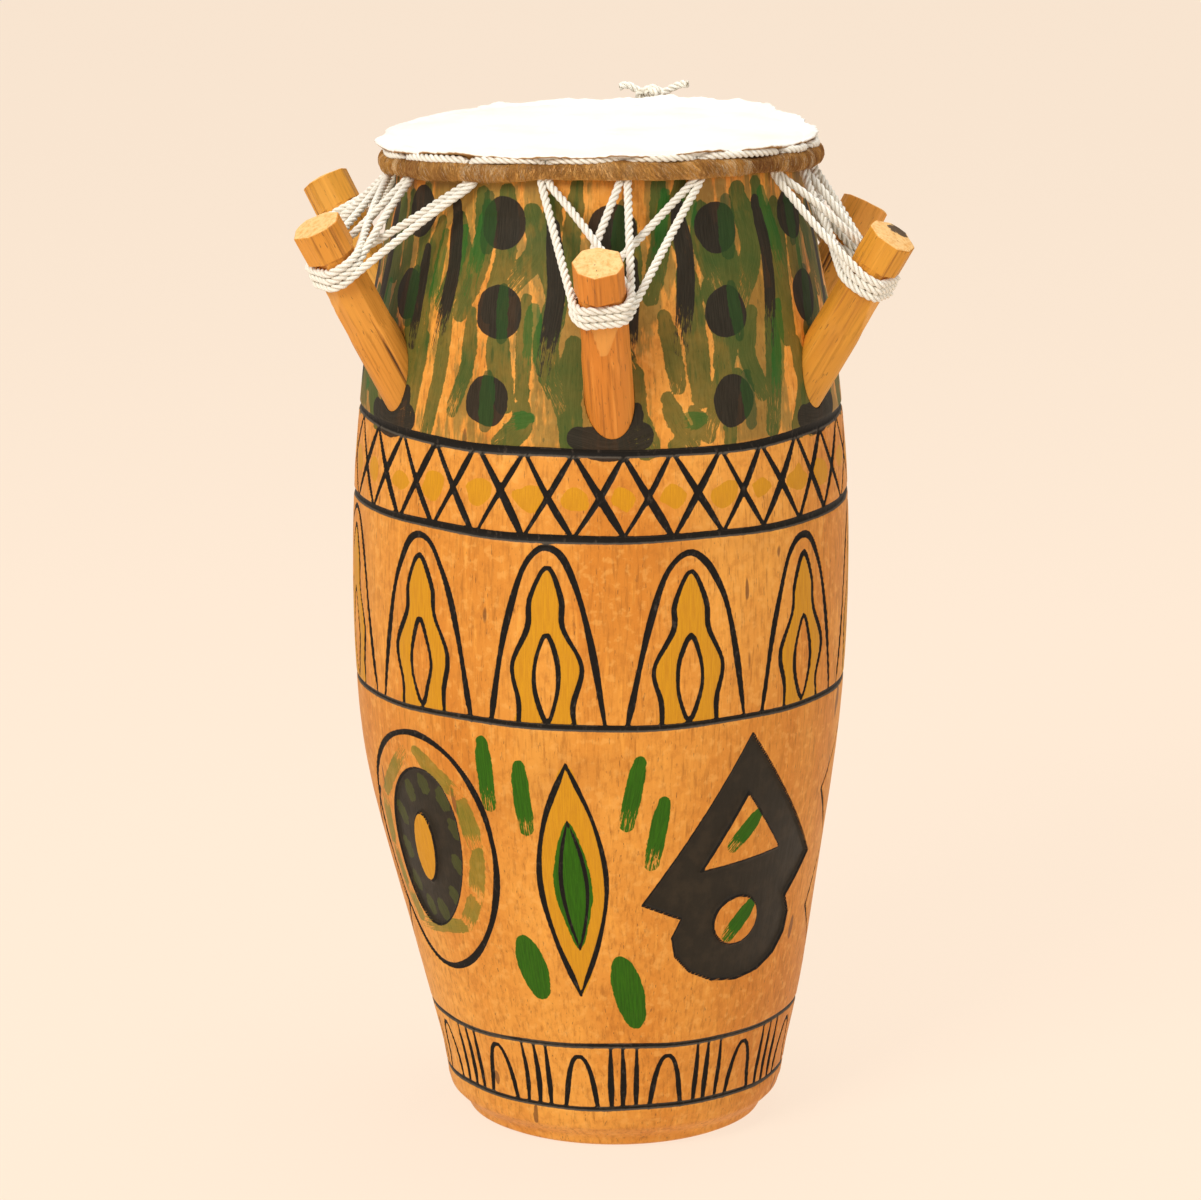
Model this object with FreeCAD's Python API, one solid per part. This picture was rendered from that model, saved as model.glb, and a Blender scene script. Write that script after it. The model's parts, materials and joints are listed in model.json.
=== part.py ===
"""Peg-tuned West African hand drum: a carved barrel shell, a goatskin head lapped round an
iron hoop, and a cotton cord that runs over the hoop and down round the notches of six pegs.

Millimetres, +Z up.  The origin is the centre of the head's axis on the floor plane.
Azimuths are in degrees from the front (-Y) towards the drum's right side (+X).
"""
import FreeCAD, Part
import math
import os

V = FreeCAD.Vector

# ---------------------------------------------------------------- driving dimensions
# Shell: heel, waist, swell, belly, shoulder, neck and rim, as (height, outer radius)
WALL = [(24, 96), (120, 116.5), (225, 135), (340, 138.5), (440, 130.4), (520, 116), (555.6, 110)]
HEEL_TUCK, HEEL_ROUNDNESS = 22, 2.5             # how far the foot's edge tucks in, and the power of its curve
HEEL_RINGS, WALL_RINGS = 4, 14                  # sections lofted through the heel and through the wall
LIP = [(558, 108), (558.6, 106)]
BORE = [(0, 54), (20, 60), (60, 77), (110, 91), (190, 109), (250, 117), (320, 118), (400, 115),
        (440, 111), (480, 106), (520, 102), (556, 100), (558.6, 101.5)]
# The foot stands off the axis, and the shift eases to nothing between the two heights
FOOT_SHIFT, SHIFT_FROM, SHIFT_TO = 8, 30, 230
RING_GROOVES = [25.5, 65, 256, 362.5, 409]      # heights of the turned grooves
GROOVE_WIRE_RADIUS, GROOVE_DEPTH = 4.0, 2.0

# Skin: one strip that covers the top, turns down outside the shell, round the hoop and out as a brim
HIDE_THICKNESS = 1.2
HIDE_TOP = 559.5
HIDE_EDGE = [(104, 559.5), (106.8, 559.45), (109.2, 558.75), (111.35, 556.3), (112.5, 552), (113.3, 548.8),
             (115.2, 546.3), (118.4, 545.2), (121.9, 545.6), (124.2, 547.9), (124.7, 550.8),
             (124.2, 553.7), (122.4, 555.8), (119.6, 556.3), (117.1, 557.0), (115.9, 559.0), (116.0, 561.4),
             (117.6, 563.3), (120.6, 564.1), (124, 564.4)]
HOOP_RADIUS, HOOP_HEIGHT, HOOP_WIRE = 121.6, 550.9, 2.2

# Cord
CORD = 2.1                      # radius
HOLE_RADIUS = 116.8             # where it passes down between the skin and the hoop
PAIR = 2.2                      # the two strands in one hole stand this far each side of its middle
CORD_SPLIT = 555.0              # height at which the lacing meets the run over the hoop
HOLE_MOUTH = 544.2              # height at which the lacing leaves the underside of the skin
CORD_GAP = 0.4                  # slack between a cord and the wood it goes round
STRAND_BOW = 1.2
WRAP_CORNERS = 4
RUN_RADIUS, RUN_HEIGHT = 120.9, 559.3
RUN_TURN, RUN_STEP, RUN_BEND = 4.4, 6.0, 3.0     # degrees to reach the hoop, degrees a chord, corner radius
LOOP_PITCH, SHOULDER_GAP = 4.3, 3.1              # spacing of a peg's three loops, first loop below its shoulder
SLOT_INNER, SLOT_OUTER, SLOT_WIDTH = 114.4, 121.6, 16.8          # the skin's cord holes, by radius and width
SLOT_FROM, SLOT_TO = 541.0, 562.0

# Pegs
PEG_HEIGHT = 440.0              # where each peg's axis crosses the shell's outside
PEG_SHAFT, PEG_HEAD, PEG_HOLE = 13.2, 14.2, 13.25
PEG_TIP, PEG_TAPER, PEG_INSIDE = 11.0, 15.0, 62.0
SHOULDER, NOTCH_DEPTH, NOTCH_LENGTH = 19.0, 5.0, 35.0
# name: azimuth, tilt from vertical, sideways lean, length outside, azimuths of its three cord holes
PEGS = {
    "front": (2, 28, -4.5, 89, (-14.4, 6, 26)),
    "front_right": (63, 31, 0, 89.5, (55, 72, 90)),
    "back_right": (118.5, 31.5, 0, 79, (108, 125, 143)),
    "back": (180, 29, 0, 88, (163, 182, 202)),
    "back_left": (-119, 31, 0, 95, (-138, -121, -104)),
    "front_left": (-59, 29.5, 0, 97, (-85, -63.5, -37)),
}
KNOT_AZIMUTH = 172.0
SEAM_TURN = -50.0               # keeps the seam of the turned skin between two cord holes


# ---------------------------------------------------------------- helpers
def around(radius, azimuth, height):
    """Point at a radius, azimuth (degrees) and height."""
    a = math.radians(azimuth)
    return V(radius * math.sin(a), -radius * math.cos(a), height)


def smooth_at(points, x):
    """Height of the smooth curve through (x, y) points, with each slope taken across a point's neighbours."""
    k = max(i for i in range(len(points) - 1) if i == 0 or points[i][0] <= x)
    (x0, y0), (x1, y1) = points[k], points[k + 1]

    def slope(i):
        before, after = points[max(i - 1, 0)], points[min(i + 1, len(points) - 1)]
        return (after[1] - before[1]) / (after[0] - before[0])

    width = x1 - x0
    t = (x - x0) / width
    bend = t * (1 - t) * ((1 - t) * width * slope(k) - t * width * slope(k + 1))
    return y0 + (y1 - y0) * t * t * (3 - 2 * t) + bend


def outer_radius(z):
    """Outer radius of the shell: a tucked heel, then the wall."""
    heel, radius = WALL[0]
    if z < heel:
        return radius - HEEL_TUCK * ((heel - z) / heel) ** HEEL_ROUNDNESS
    return smooth_at(WALL, z)


def foot_offset(z):
    """How far the shell's axis stands to the side at a height."""
    t = min(1.0, max(0.0, (z - SHIFT_FROM) / (SHIFT_TO - SHIFT_FROM)))
    return FOOT_SHIFT * (1 - t * t * (3 - 2 * t))


def outside_profile():
    """(height, radius) of every section of the outside."""
    heel, rim = WALL[0][0], WALL[-1][0]
    heights = [heel * i / HEEL_RINGS for i in range(HEEL_RINGS)]
    heights += [heel + (rim - heel) * i / WALL_RINGS for i in range(WALL_RINGS + 1)]
    return [(z, outer_radius(z)) for z in heights] + LIP


def spline(points):
    curve = Part.BSplineCurve()
    curve.interpolate(points)
    return curve


def lofted(profile):
    """Solid through one circle per (height, radius), each centred on the shell's own bent axis."""
    rings = [Part.Wire(Part.makeCircle(r, V(foot_offset(z), 0, z))) for z, r in profile]
    return Part.makeLoft(rings, True, False)


def rope(points, bend):
    """Solid cord along straight runs between the points, with every corner rounded to radius bend."""
    edges, last = [], points[0]
    for before, corner, after in zip(points, points[1:], points[2:]):
        back, on = (before - corner).normalize(), (after - corner).normalize()
        half = math.acos(max(-1.0, min(1.0, back.dot(on)))) / 2
        room = 0.49 * min(before.distanceToPoint(corner), after.distanceToPoint(corner))
        cut = min(bend / math.tan(half), room)
        start, end = corner + back * cut, corner + on * cut
        centre = corner + (back + on).normalize() * (cut / math.cos(half))
        middle = centre + (corner - centre).normalize() * (cut * math.tan(half))
        edges.append(Part.makeLine(last, start))
        edges.append(Part.Arc(start, middle, end).toShape())
        last = end
    edges.append(Part.makeLine(last, points[-1]))
    section = Part.Wire(Part.makeCircle(CORD, points[0], points[1] - points[0]))
    return Part.Wire(edges).makePipeShell([section], True, False)


def jointed(points):
    """Solid cord of straight lengths with a ball at each turn, for tight curls."""
    lengths = [Part.makeCylinder(CORD, (b - a).Length, a, b - a) for a, b in zip(points, points[1:])]
    balls = [Part.makeSphere(CORD, p) for p in points[1:]]
    return lengths[0].fuse(lengths[1:] + balls).removeSplitter()


def save(shape, node):
    shape.exportStep(f"parts/{node}.step")


# ---------------------------------------------------------------- pegs
class Peg:
    """A peg's own axes: 'along' points up and out of the shell, 'outer' away from the drum."""

    def __init__(self, azimuth, tilt, lean, length, holes):
        self.length, self.holes = length, holes
        radial, across, up = around(1, azimuth, 0), around(1, azimuth + 90, 0), V(0, 0, 1)
        tilt, lean = math.radians(tilt), math.radians(lean)
        self.base = around(outer_radius(PEG_HEIGHT), azimuth, PEG_HEIGHT)
        self.along = (radial * math.sin(tilt) + up * math.cos(tilt) + across * math.sin(lean)).normalize()
        self.side = self.along.cross(radial).normalize()
        self.outer = self.side.cross(self.along)
        self.shoulder = length - SHOULDER

    def point(self, outer, side, along):
        return self.base + self.outer * outer + self.side * side + self.along * along

    def local(self, p):
        d = p - self.base
        return d.dot(self.outer), d.dot(self.side), d.dot(self.along)

    def placed(self, shape):
        m = FreeCAD.Matrix(self.outer.x, self.side.x, self.along.x, self.base.x,
                           self.outer.y, self.side.y, self.along.y, self.base.y,
                           self.outer.z, self.side.z, self.along.z, self.base.z, 0, 0, 0, 1)
        return shape.transformed(m, True)

    def hole(self):
        """Cutter for the slanted hole through the wall."""
        return self.placed(Part.makeCylinder(PEG_HOLE, 140, V(0, 0, -85)))

    def solid(self):
        """Tapered tip, shaft, thicker head, and a ramped notch that catches the cord."""
        straight = -PEG_INSIDE + PEG_TAPER
        tip = Part.makeCone(PEG_TIP, PEG_SHAFT, PEG_TAPER, V(0, 0, -PEG_INSIDE))
        shaft = Part.makeCylinder(PEG_SHAFT, self.shoulder - straight, V(0, 0, straight))
        head = Part.makeCylinder(PEG_HEAD, SHOULDER, V(0, 0, self.shoulder))
        head = head.makeChamfer(1.2, [e for e in head.Edges if e.Curve.TypeId == "Part::GeomCircle"
                                      and abs(e.CenterOfMass.z - self.length) < 0.01])
        reach = 4.0
        run = NOTCH_LENGTH * (NOTCH_DEPTH + reach) / NOTCH_DEPTH
        ramp = Part.makePolygon([V(PEG_SHAFT - NOTCH_DEPTH, -20, self.shoulder),
                                 V(PEG_SHAFT + reach, -20, self.shoulder),
                                 V(PEG_SHAFT + reach, -20, self.shoulder - run),
                                 V(PEG_SHAFT - NOTCH_DEPTH, -20, self.shoulder)])
        notch = Part.Face(ramp).extrude(V(0, 40, 0))
        return self.placed(tip.fuse([shaft, head]).removeSplitter().cut(notch))

    def loop(self, hole_azimuth, level):
        """One cord loop: down from its hole, round the notch at this level, and back up."""
        around_peg = PEG_SHAFT + CORD + CORD_GAP
        step = math.degrees(PAIR / HOLE_RADIUS)
        sides, angles = {}, {}
        for hand in (-1, 1):
            azimuth = hole_azimuth + hand * step
            mouth = around(HOLE_RADIUS + 0.4, azimuth, HOLE_MOUTH)
            outer, side, along = self.local(mouth)
            bearing = math.atan2(side, outer) % (2 * math.pi)
            angles[hand] = bearing - hand * math.acos(around_peg / math.hypot(outer, side))
            # Half way down, each strand bows a little to its own side, so that crossing cords clear
            flank = self.point(around_peg * math.cos(angles[hand]), around_peg * math.sin(angles[hand]), level)
            waist = mouth + (flank - mouth) * 0.42 + self.along * (hand * STRAND_BOW)
            sides[hand] = [around(HOLE_RADIUS, azimuth, CORD_SPLIT), mouth, waist]
        first, last = angles[-1] - 2 * math.pi, angles[1]
        turn = (last - first) / WRAP_CORNERS
        reach = around_peg / math.cos(turn / 2)
        wrap = [self.point(reach * math.cos(a), reach * math.sin(a), level)
                for a in (first + turn * (i + 0.5) for i in range(WRAP_CORNERS))]
        return rope(sides[-1] + wrap + sides[1][::-1], around_peg)


# ---------------------------------------------------------------- drum
def shell(pegs):
    """Carved barrel with its bore, turned grooves and six slanted peg holes."""
    body = lofted(outside_profile()).cut(lofted(BORE))
    for z in RING_GROOVES:
        r = outer_radius(z)
        ring = Part.makeTorus(r + GROOVE_WIRE_RADIUS - GROOVE_DEPTH, GROOVE_WIRE_RADIUS,
                              V(foot_offset(z), 0, z))
        body = body.cut(ring)
    for peg in pegs.values():
        body = body.cut(peg.hole())
    return body


def cord_holes():
    """Cutters for the holes pierced through the skin, one per pair of strands."""
    slots = []
    for _, _, _, _, holes in PEGS.values():
        for azimuth in holes:
            slot = Part.makeBox(SLOT_WIDTH, SLOT_OUTER - SLOT_INNER, SLOT_TO - SLOT_FROM,
                                V(-SLOT_WIDTH / 2, -SLOT_OUTER, SLOT_FROM))
            slot.rotate(V(0, 0, 0), V(0, 0, 1), azimuth)
            slots.append(slot)
    return slots


def hide():
    """The skin's section, offset half its thickness each way from one curve and turned full circle."""
    middle = spline([V(r, 0, z) for r, z in HIDE_EDGE])
    upper, lower = [], []
    count = 90
    for i in range(count + 1):
        t = middle.FirstParameter + (middle.LastParameter - middle.FirstParameter) * i / count
        p, d = middle.value(t), middle.tangent(t)[0]
        normal = V(-d.z, 0, d.x) * (HIDE_THICKNESS / 2)
        upper.append(p + normal)
        lower.append(p - normal)
    inner_top = V(0, 0, HIDE_TOP + HIDE_THICKNESS / 2)
    inner_low = V(0, 0, HIDE_TOP - HIDE_THICKNESS / 2)
    top, low = spline(upper).toShape(), spline(lower).toShape()
    outline = Part.Wire([Part.makeLine(inner_top, upper[0]), top, Part.makeLine(upper[-1], lower[-1]), low,
                         Part.makeLine(lower[0], inner_low), Part.makeLine(inner_low, inner_top)])
    skin = Part.Face(outline).revolve(V(0, 0, 0), V(0, 0, 1), 360)
    skin.rotate(V(0, 0, 0), V(0, 0, 1), SEAM_TURN)
    for slot in cord_holes():
        skin = skin.cut(slot)
    return skin


def hoop():
    return Part.makeTorus(HOOP_RADIUS, HOOP_WIRE, V(0, 0, HOOP_HEIGHT))


def run_end(azimuth, way):
    """Where the cord climbs out of a hole and turns onto the hoop; way is +1 to leave to the right."""
    start = math.degrees(PAIR / HOLE_RADIUS)
    climb = [(HOLE_RADIUS, 0, CORD_SPLIT + 0.3), (HOLE_RADIUS, 0, RUN_HEIGHT), (RUN_RADIUS, RUN_TURN, RUN_HEIGHT)]
    return [around(r, azimuth + way * (start + turn), z) for r, turn, z in climb]


def holes_round_head():
    return sorted(azimuth % 360 for peg in PEGS.values() for azimuth in peg[4])


def rim_cord():
    """The runs of cord over the hoop, each from one hole to the next, except where it is tied."""
    holes = holes_round_head()
    runs = []
    for first, second in zip(holes, holes[1:] + [holes[0] + 360]):
        if first < KNOT_AZIMUTH < second:
            continue
        start, end = run_end(first, 1), run_end(second, -1)
        margin = RUN_TURN + math.degrees(PAIR / HOLE_RADIUS)
        span = second - first - 2 * margin
        count = max(1, round(span / RUN_STEP))
        middle = [around(RUN_RADIUS, first + margin + span * i / count, RUN_HEIGHT) for i in range(1, count)]
        runs.append(rope(start + middle + end[::-1], RUN_BEND))
    return Part.makeCompound(runs)


def cord_knot():
    """The two ends of the cord, crossed over each other outside the brim and left standing up."""
    holes = holes_round_head()
    before = max(a for a in holes if a < KNOT_AZIMUTH)
    after = min(a for a in holes if a > KNOT_AZIMUTH)
    ends = []
    for azimuth, way in ((before, 1), (after, -1)):
        curl = [(127.4, -way * 2.2, 558.6), (131.2, way * 3.2, 561.0), (130.5, way * 6.0, 566.5),
                (132.0, way * 4.5, 571.5)]
        tail = [around(r, KNOT_AZIMUTH + turn, z) for r, turn, z in curl]
        ends.append(jointed(run_end(azimuth, way) + tail))
    return Part.makeCompound(ends)


def lacing(peg):
    """The three loops that hold one peg's share of the head."""
    first = peg.shoulder - CORD - SHOULDER_GAP
    return Part.makeCompound([peg.loop(azimuth, first - LOOP_PITCH * i) for i, azimuth in enumerate(peg.holes)])


os.makedirs("parts", exist_ok=True)
all_pegs = {name: Peg(*numbers) for name, numbers in PEGS.items()}
save(shell(all_pegs), "shell")
save(hide(), "head_skin")
save(hoop(), "flesh_hoop")
save(rim_cord(), "rim_cord")
save(cord_knot(), "cord_knot")
for name, one in all_pegs.items():
    save(one.solid(), f"peg_{name}")
    save(lacing(one), f"lacing_{name}")
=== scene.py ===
"""Looks for a peg-tuned hand drum: carved and painted shell, whittled pegs, twisted cord, hide with
a hair roll.  Lengths are millimetres until a mesh is made; azimuths are degrees from -Y towards +X."""
import json
import math
import random

import bpy
import numpy as np
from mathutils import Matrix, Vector
from mathutils.bvhtree import BVHTree


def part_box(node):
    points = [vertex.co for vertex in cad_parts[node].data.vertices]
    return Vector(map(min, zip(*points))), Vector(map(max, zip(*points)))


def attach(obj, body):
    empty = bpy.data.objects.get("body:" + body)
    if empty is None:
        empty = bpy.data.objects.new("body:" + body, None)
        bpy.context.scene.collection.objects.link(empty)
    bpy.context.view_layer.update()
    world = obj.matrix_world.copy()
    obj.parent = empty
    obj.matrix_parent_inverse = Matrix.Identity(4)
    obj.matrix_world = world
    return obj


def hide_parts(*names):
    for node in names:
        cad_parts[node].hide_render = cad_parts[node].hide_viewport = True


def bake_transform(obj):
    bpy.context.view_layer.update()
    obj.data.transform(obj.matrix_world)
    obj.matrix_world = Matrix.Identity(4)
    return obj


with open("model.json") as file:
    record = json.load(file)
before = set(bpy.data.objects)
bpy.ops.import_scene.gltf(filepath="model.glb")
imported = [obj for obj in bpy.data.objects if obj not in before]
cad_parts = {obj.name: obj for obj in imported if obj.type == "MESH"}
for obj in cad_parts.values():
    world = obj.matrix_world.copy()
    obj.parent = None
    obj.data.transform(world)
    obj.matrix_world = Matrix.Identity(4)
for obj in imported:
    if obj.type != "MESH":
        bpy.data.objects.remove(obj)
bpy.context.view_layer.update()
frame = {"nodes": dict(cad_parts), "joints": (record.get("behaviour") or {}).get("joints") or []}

rng = np.random.default_rng(7)
MM = 0.001

# ------------------------------------------------------------------ driving values
COLUMNS, ROW_STEP = ((800, 1.15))
RING_HEIGHTS = [(27.0, 1.6), (65.5, 1.6), (257.0, 1.9), (361.5, 2.4), (408.0, 2.5)]   # height, half width
LATTICE_PITCH, LATTICE_START = 360 / 31, -6.4
ARCH_PITCH, ARCH_START = 360 / 11, -12.2
FOOT_PITCH, FOOT_START = 360 / 13, -11.3
FOOT_ARCH_HALF, FOOT_ARCH_RISE = 5.4, 0.84        # degrees, and share of the band height
HOOP_R, HOOP_Z, HOOP_WIRE, CORD_R, HOLE_R = 117.4, 550.8, 2.0, 2.1, 115.9
MOUTH_Z, RUN_R, RUN_RISE, SKIN_Z = 544.2, 118.4, 6.5, 560.1
SHAFT_R, HEAD_R, SHOULDER, NOTCH_DEPTH, NOTCH_LENGTH = 13.2, 14.2, 19.0, 5.0, 35.0
LOOP_PITCH, PAIR = 4.3, 2.2
CORD_HOLES = {"front": (-14.4, 6, 26), "front_right": (55, 72, 90), "back_right": (108, 125, 143),
              "back": (163, 182, 202), "back_left": (-138, -121, -104), "front_left": (-85, -63.5, -37)}
KNOT_AZIMUTH, TAIL_AZIMUTH = 172.0, 166.5
# Where the skin's edge curls up: azimuth, width, height
BRIM_LIFTS = [(-44, 17, 3.4), (30, 9, 1.3), (140, 20, 2.0)]
BELLY_R, PEG_INSIDE, FLOOR_HALF = 138, 62.0, 15000
EMPTY = -8.0                    # signed distance where nothing is drawn
OUTSIDE_WITHIN = 1.5            # a shell point this near the outer profile is on its outside
HAIR_TONES = [(0.30, 0.12, 0.018), (0.66, 0.34, 0.075), (0.93, 0.80, 0.56)]
FLOOR_Z = -0.3


# ------------------------------------------------------------------ small tools
def around(r, azimuth, z):
    a = math.radians(azimuth)
    return np.array([r * math.sin(a), -r * math.cos(a), z])


def ring(r, a, z, offset=0.0):
    """A level or wavy ring of points: radius, azimuths in radians, height."""
    return np.stack([offset + r * np.sin(a), -r * np.cos(a), np.broadcast_to(z, a.shape)], 1)


def smoothstep(lo, hi, x):
    t = np.clip((np.asarray(x, float) - lo) / (hi - lo), 0, 1)
    return t * t * (3 - 2 * t)


def spline(points, step, closed=False):
    """Points a given step apart along a Catmull-Rom curve through the control points."""
    p = np.asarray(points, float)
    ends = (p[-1:], p[:2]) if closed else (2 * p[:1] - p[1:2], 2 * p[-1:] - p[-2:-1])
    q = np.concatenate([ends[0], p, ends[1]])
    t = np.linspace(0, 1, 16, endpoint=False)[:, None]
    parts = []
    for a, b, c, d in zip(q, q[1:], q[2:], q[3:]):
        parts.append(0.5 * (2 * b + (c - a) * t + (2 * a - 5 * b + 4 * c - d) * t ** 2
                            + (3 * b - a - 3 * c + d) * t ** 3))
    dense = np.concatenate(parts + [p[:1] if closed else p[-1:]])
    s = np.concatenate([[0], np.cumsum(np.linalg.norm(np.diff(dense, axis=0), axis=1))])
    n = max(2, int(round(s[-1] / step)) + 1)
    even = np.linspace(0, s[-1], n)
    return np.stack([np.interp(even, s, dense[:, i]) for i in range(dense.shape[1])], 1)


def droop(azimuth):
    """How far the warped hoop stands above (front) or below (left) a level ring."""
    a = np.radians(azimuth)
    return -0.9 + 4.5 * np.cos(a) + 2.2 * np.sin(a) + 2.4 * np.cos(2 * a)


def brim_height(azimuth):
    """Height of the trimmed edge of the skin."""
    a = np.radians(azimuth)
    lift = sum(h * np.exp(-(((azimuth - at + 180) % 360 - 180) / wide) ** 2) for at, wide, h in BRIM_LIFTS)
    return 560.6 + 1.6 * np.cos(a) + 3.0 * np.sin(a) + 2.6 * np.cos(2 * a) + lift


def make_mesh(name, verts, faces, materials, smooth=True, slots=None):
    """A mesh object from millimetre vertices."""
    mesh = bpy.data.meshes.new(name)
    mesh.from_pydata((np.asarray(verts) * MM).tolist(), [], [tuple(map(int, f)) for f in faces])
    for m in materials:
        mesh.materials.append(m)
    if slots is not None:
        mesh.polygons.foreach_set("material_index", np.asarray(slots, np.int32))
    mesh.polygons.foreach_set("use_smooth", np.full(len(mesh.polygons), smooth))
    mesh.update()
    ob = bpy.data.objects.new(name, mesh)
    bpy.context.scene.collection.objects.link(ob)
    return ob


def set_attribute(ob, name, values, kind="FLOAT"):
    a = ob.data.attributes.new(name, kind, "POINT")
    key = {"FLOAT": "value", "FLOAT_VECTOR": "vector", "FLOAT_COLOR": "color"}[kind]
    a.data.foreach_set(key, np.asarray(values, np.float32).ravel())


def grid_faces(rows, cols, wrap=True):
    i, j = np.meshgrid(np.arange(rows - 1), np.arange(cols if wrap else cols - 1), indexing="ij")
    k = (j + 1) % cols
    return np.stack([i * cols + j, i * cols + k, (i + 1) * cols + k, (i + 1) * cols + j], -1).reshape(-1, 4)


def place(ob, body, stands_for=None):
    """Puts a piece on its body and hides the CAD node that it stands for."""
    if stands_for:
        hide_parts(stands_for)
    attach(ob, body)


# ------------------------------------------------------------------ node helpers
class Nodes:
    """Short names for building a material's node tree."""

    def __init__(self, name):
        self.material = bpy.data.materials.new(name)
        self.material.use_nodes = True
        self.tree = self.material.node_tree
        self.bsdf = self.tree.nodes["Principled BSDF"]
        self.place = self.add("ShaderNodeTexCoord").outputs["Object"]

    def add(self, kind, inputs=None, **settings):
        n = self.tree.nodes.new(kind)
        for k, v in settings.items():
            setattr(n, k, v)
        for k, v in (inputs or {}).items():
            self.put(n.inputs[k], v)
        return n

    def put(self, socket, value):
        if isinstance(value, bpy.types.NodeSocket):
            self.tree.links.new(value, socket)
        elif isinstance(value, tuple) and len(value) == 3 and socket.type == "RGBA":
            socket.default_value = value + (1.0,)
        else:
            socket.default_value = value

    def math(self, op, a, b=0.0, c=0.0, clamp=False):
        n = self.add("ShaderNodeMath", {0: a, 1: b, 2: c}, operation=op)
        n.use_clamp = clamp
        return n.outputs[0]

    def step(self, x, lo, hi):
        n = self.add("ShaderNodeMapRange", {"Value": x, "From Min": lo, "From Max": hi},
                     interpolation_type="SMOOTHSTEP")
        return n.outputs["Result"]

    def fade(self, x, lo, hi, share):
        """A step that only rises as far as share."""
        return self.math("MULTIPLY", self.step(x, lo, hi), share)

    def attr(self, name, output="Fac"):
        return self.add("ShaderNodeAttribute", attribute_name=name).outputs[output]

    def vec(self, x, y, z=0.0):
        return self.add("ShaderNodeCombineXYZ", {0: x, 1: y, 2: z}).outputs[0]

    def scaled(self, v, scale):
        return self.add("ShaderNodeMapping", {"Vector": v, "Scale": scale}).outputs[0]

    def noise(self, scale, where=None, detail=3.0, rough=0.55):
        n = self.add("ShaderNodeTexNoise", {"Vector": where or self.place, "Scale": scale,
                                            "Detail": detail, "Roughness": rough})
        return n.outputs["Fac"]

    def mix(self, f, a, b):
        n = self.add("ShaderNodeMix", data_type="RGBA")
        self.put(n.inputs[0], f)
        self.put(n.inputs[6], a)
        self.put(n.inputs[7], b)
        return n.outputs[2]

    def finish(self, color, rough, height=None, bump=0.3, distance=0.001):
        self.put(self.bsdf.inputs["Base Color"], color)
        self.put(self.bsdf.inputs["Roughness"], rough)
        if height is not None:
            n = self.add("ShaderNodeBump", {"Height": height, "Strength": bump, "Distance": distance})
            self.put(self.bsdf.inputs["Normal"], n.outputs[0])
        return self.material


def wood(n, light, deep, along):
    """Colour and height of oiled wood; along stretches the grain on each axis."""
    broad = n.noise(14.0, n.scaled(n.place, tuple(0.25 + 0.75 * a for a in along)), 4.0)
    base = n.mix(n.step(broad, 0.3, 0.72), light, deep)
    fine = n.noise(520.0, n.scaled(n.place, along), 4.0, 0.65)
    base = n.mix(n.fade(fine, 0.46, 0.74, 0.6), base, tuple(c * 0.5 for c in deep))
    pale = n.noise(300.0, n.scaled(n.place, along), 2.0)
    bright = tuple(min(1, c * 1.25) for c in light)
    base = n.mix(n.fade(pale, 0.55, 0.75, 0.35), base, bright)
    specks = n.noise(900.0, n.scaled(n.place, tuple(max(a, 0.16) for a in along)), 2.0)
    base = n.mix(n.fade(specks, 0.66, 0.72, 0.6), base, (0.10, 0.045, 0.015))
    return base, fine


# Paints below and above the sunk black: layer, two tones, ragged edge, cover, share kept where it is thin
PAINTS_UNDER = [("ochre", (0.66, 0.30, 0.002), (0.56, 0.235, 0.002), 1.2),
                ("glaze", (0.020, 0.070, 0.012), (0.048, 0.098, 0.020), 2.2, 0.97, 0.7),
                ("bright", (0.010, 0.100, 0.010), (0.026, 0.125, 0.018), 2.4, 0.95, 0.6),
                ("olive", (0.040, 0.135, 0.004), (0.150, 0.170, 0.006), 2.2, 0.92, 0.5),
                ("green", (0.010, 0.085, 0.002), (0.022, 0.135, 0.003), 1.4, 0.98)]
PAINTS_OVER = [("dark", (0.017, 0.013, 0.009), (0.032, 0.025, 0.018), 0.9, 0.97),
               ("over", (0.018, 0.052, 0.010), (0.026, 0.07, 0.014), 2.0, 0.75),
               ("dabs", (0.085, 0.095, 0.006), (0.050, 0.065, 0.008), 3.2, 0.75, 0.4)]


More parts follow.
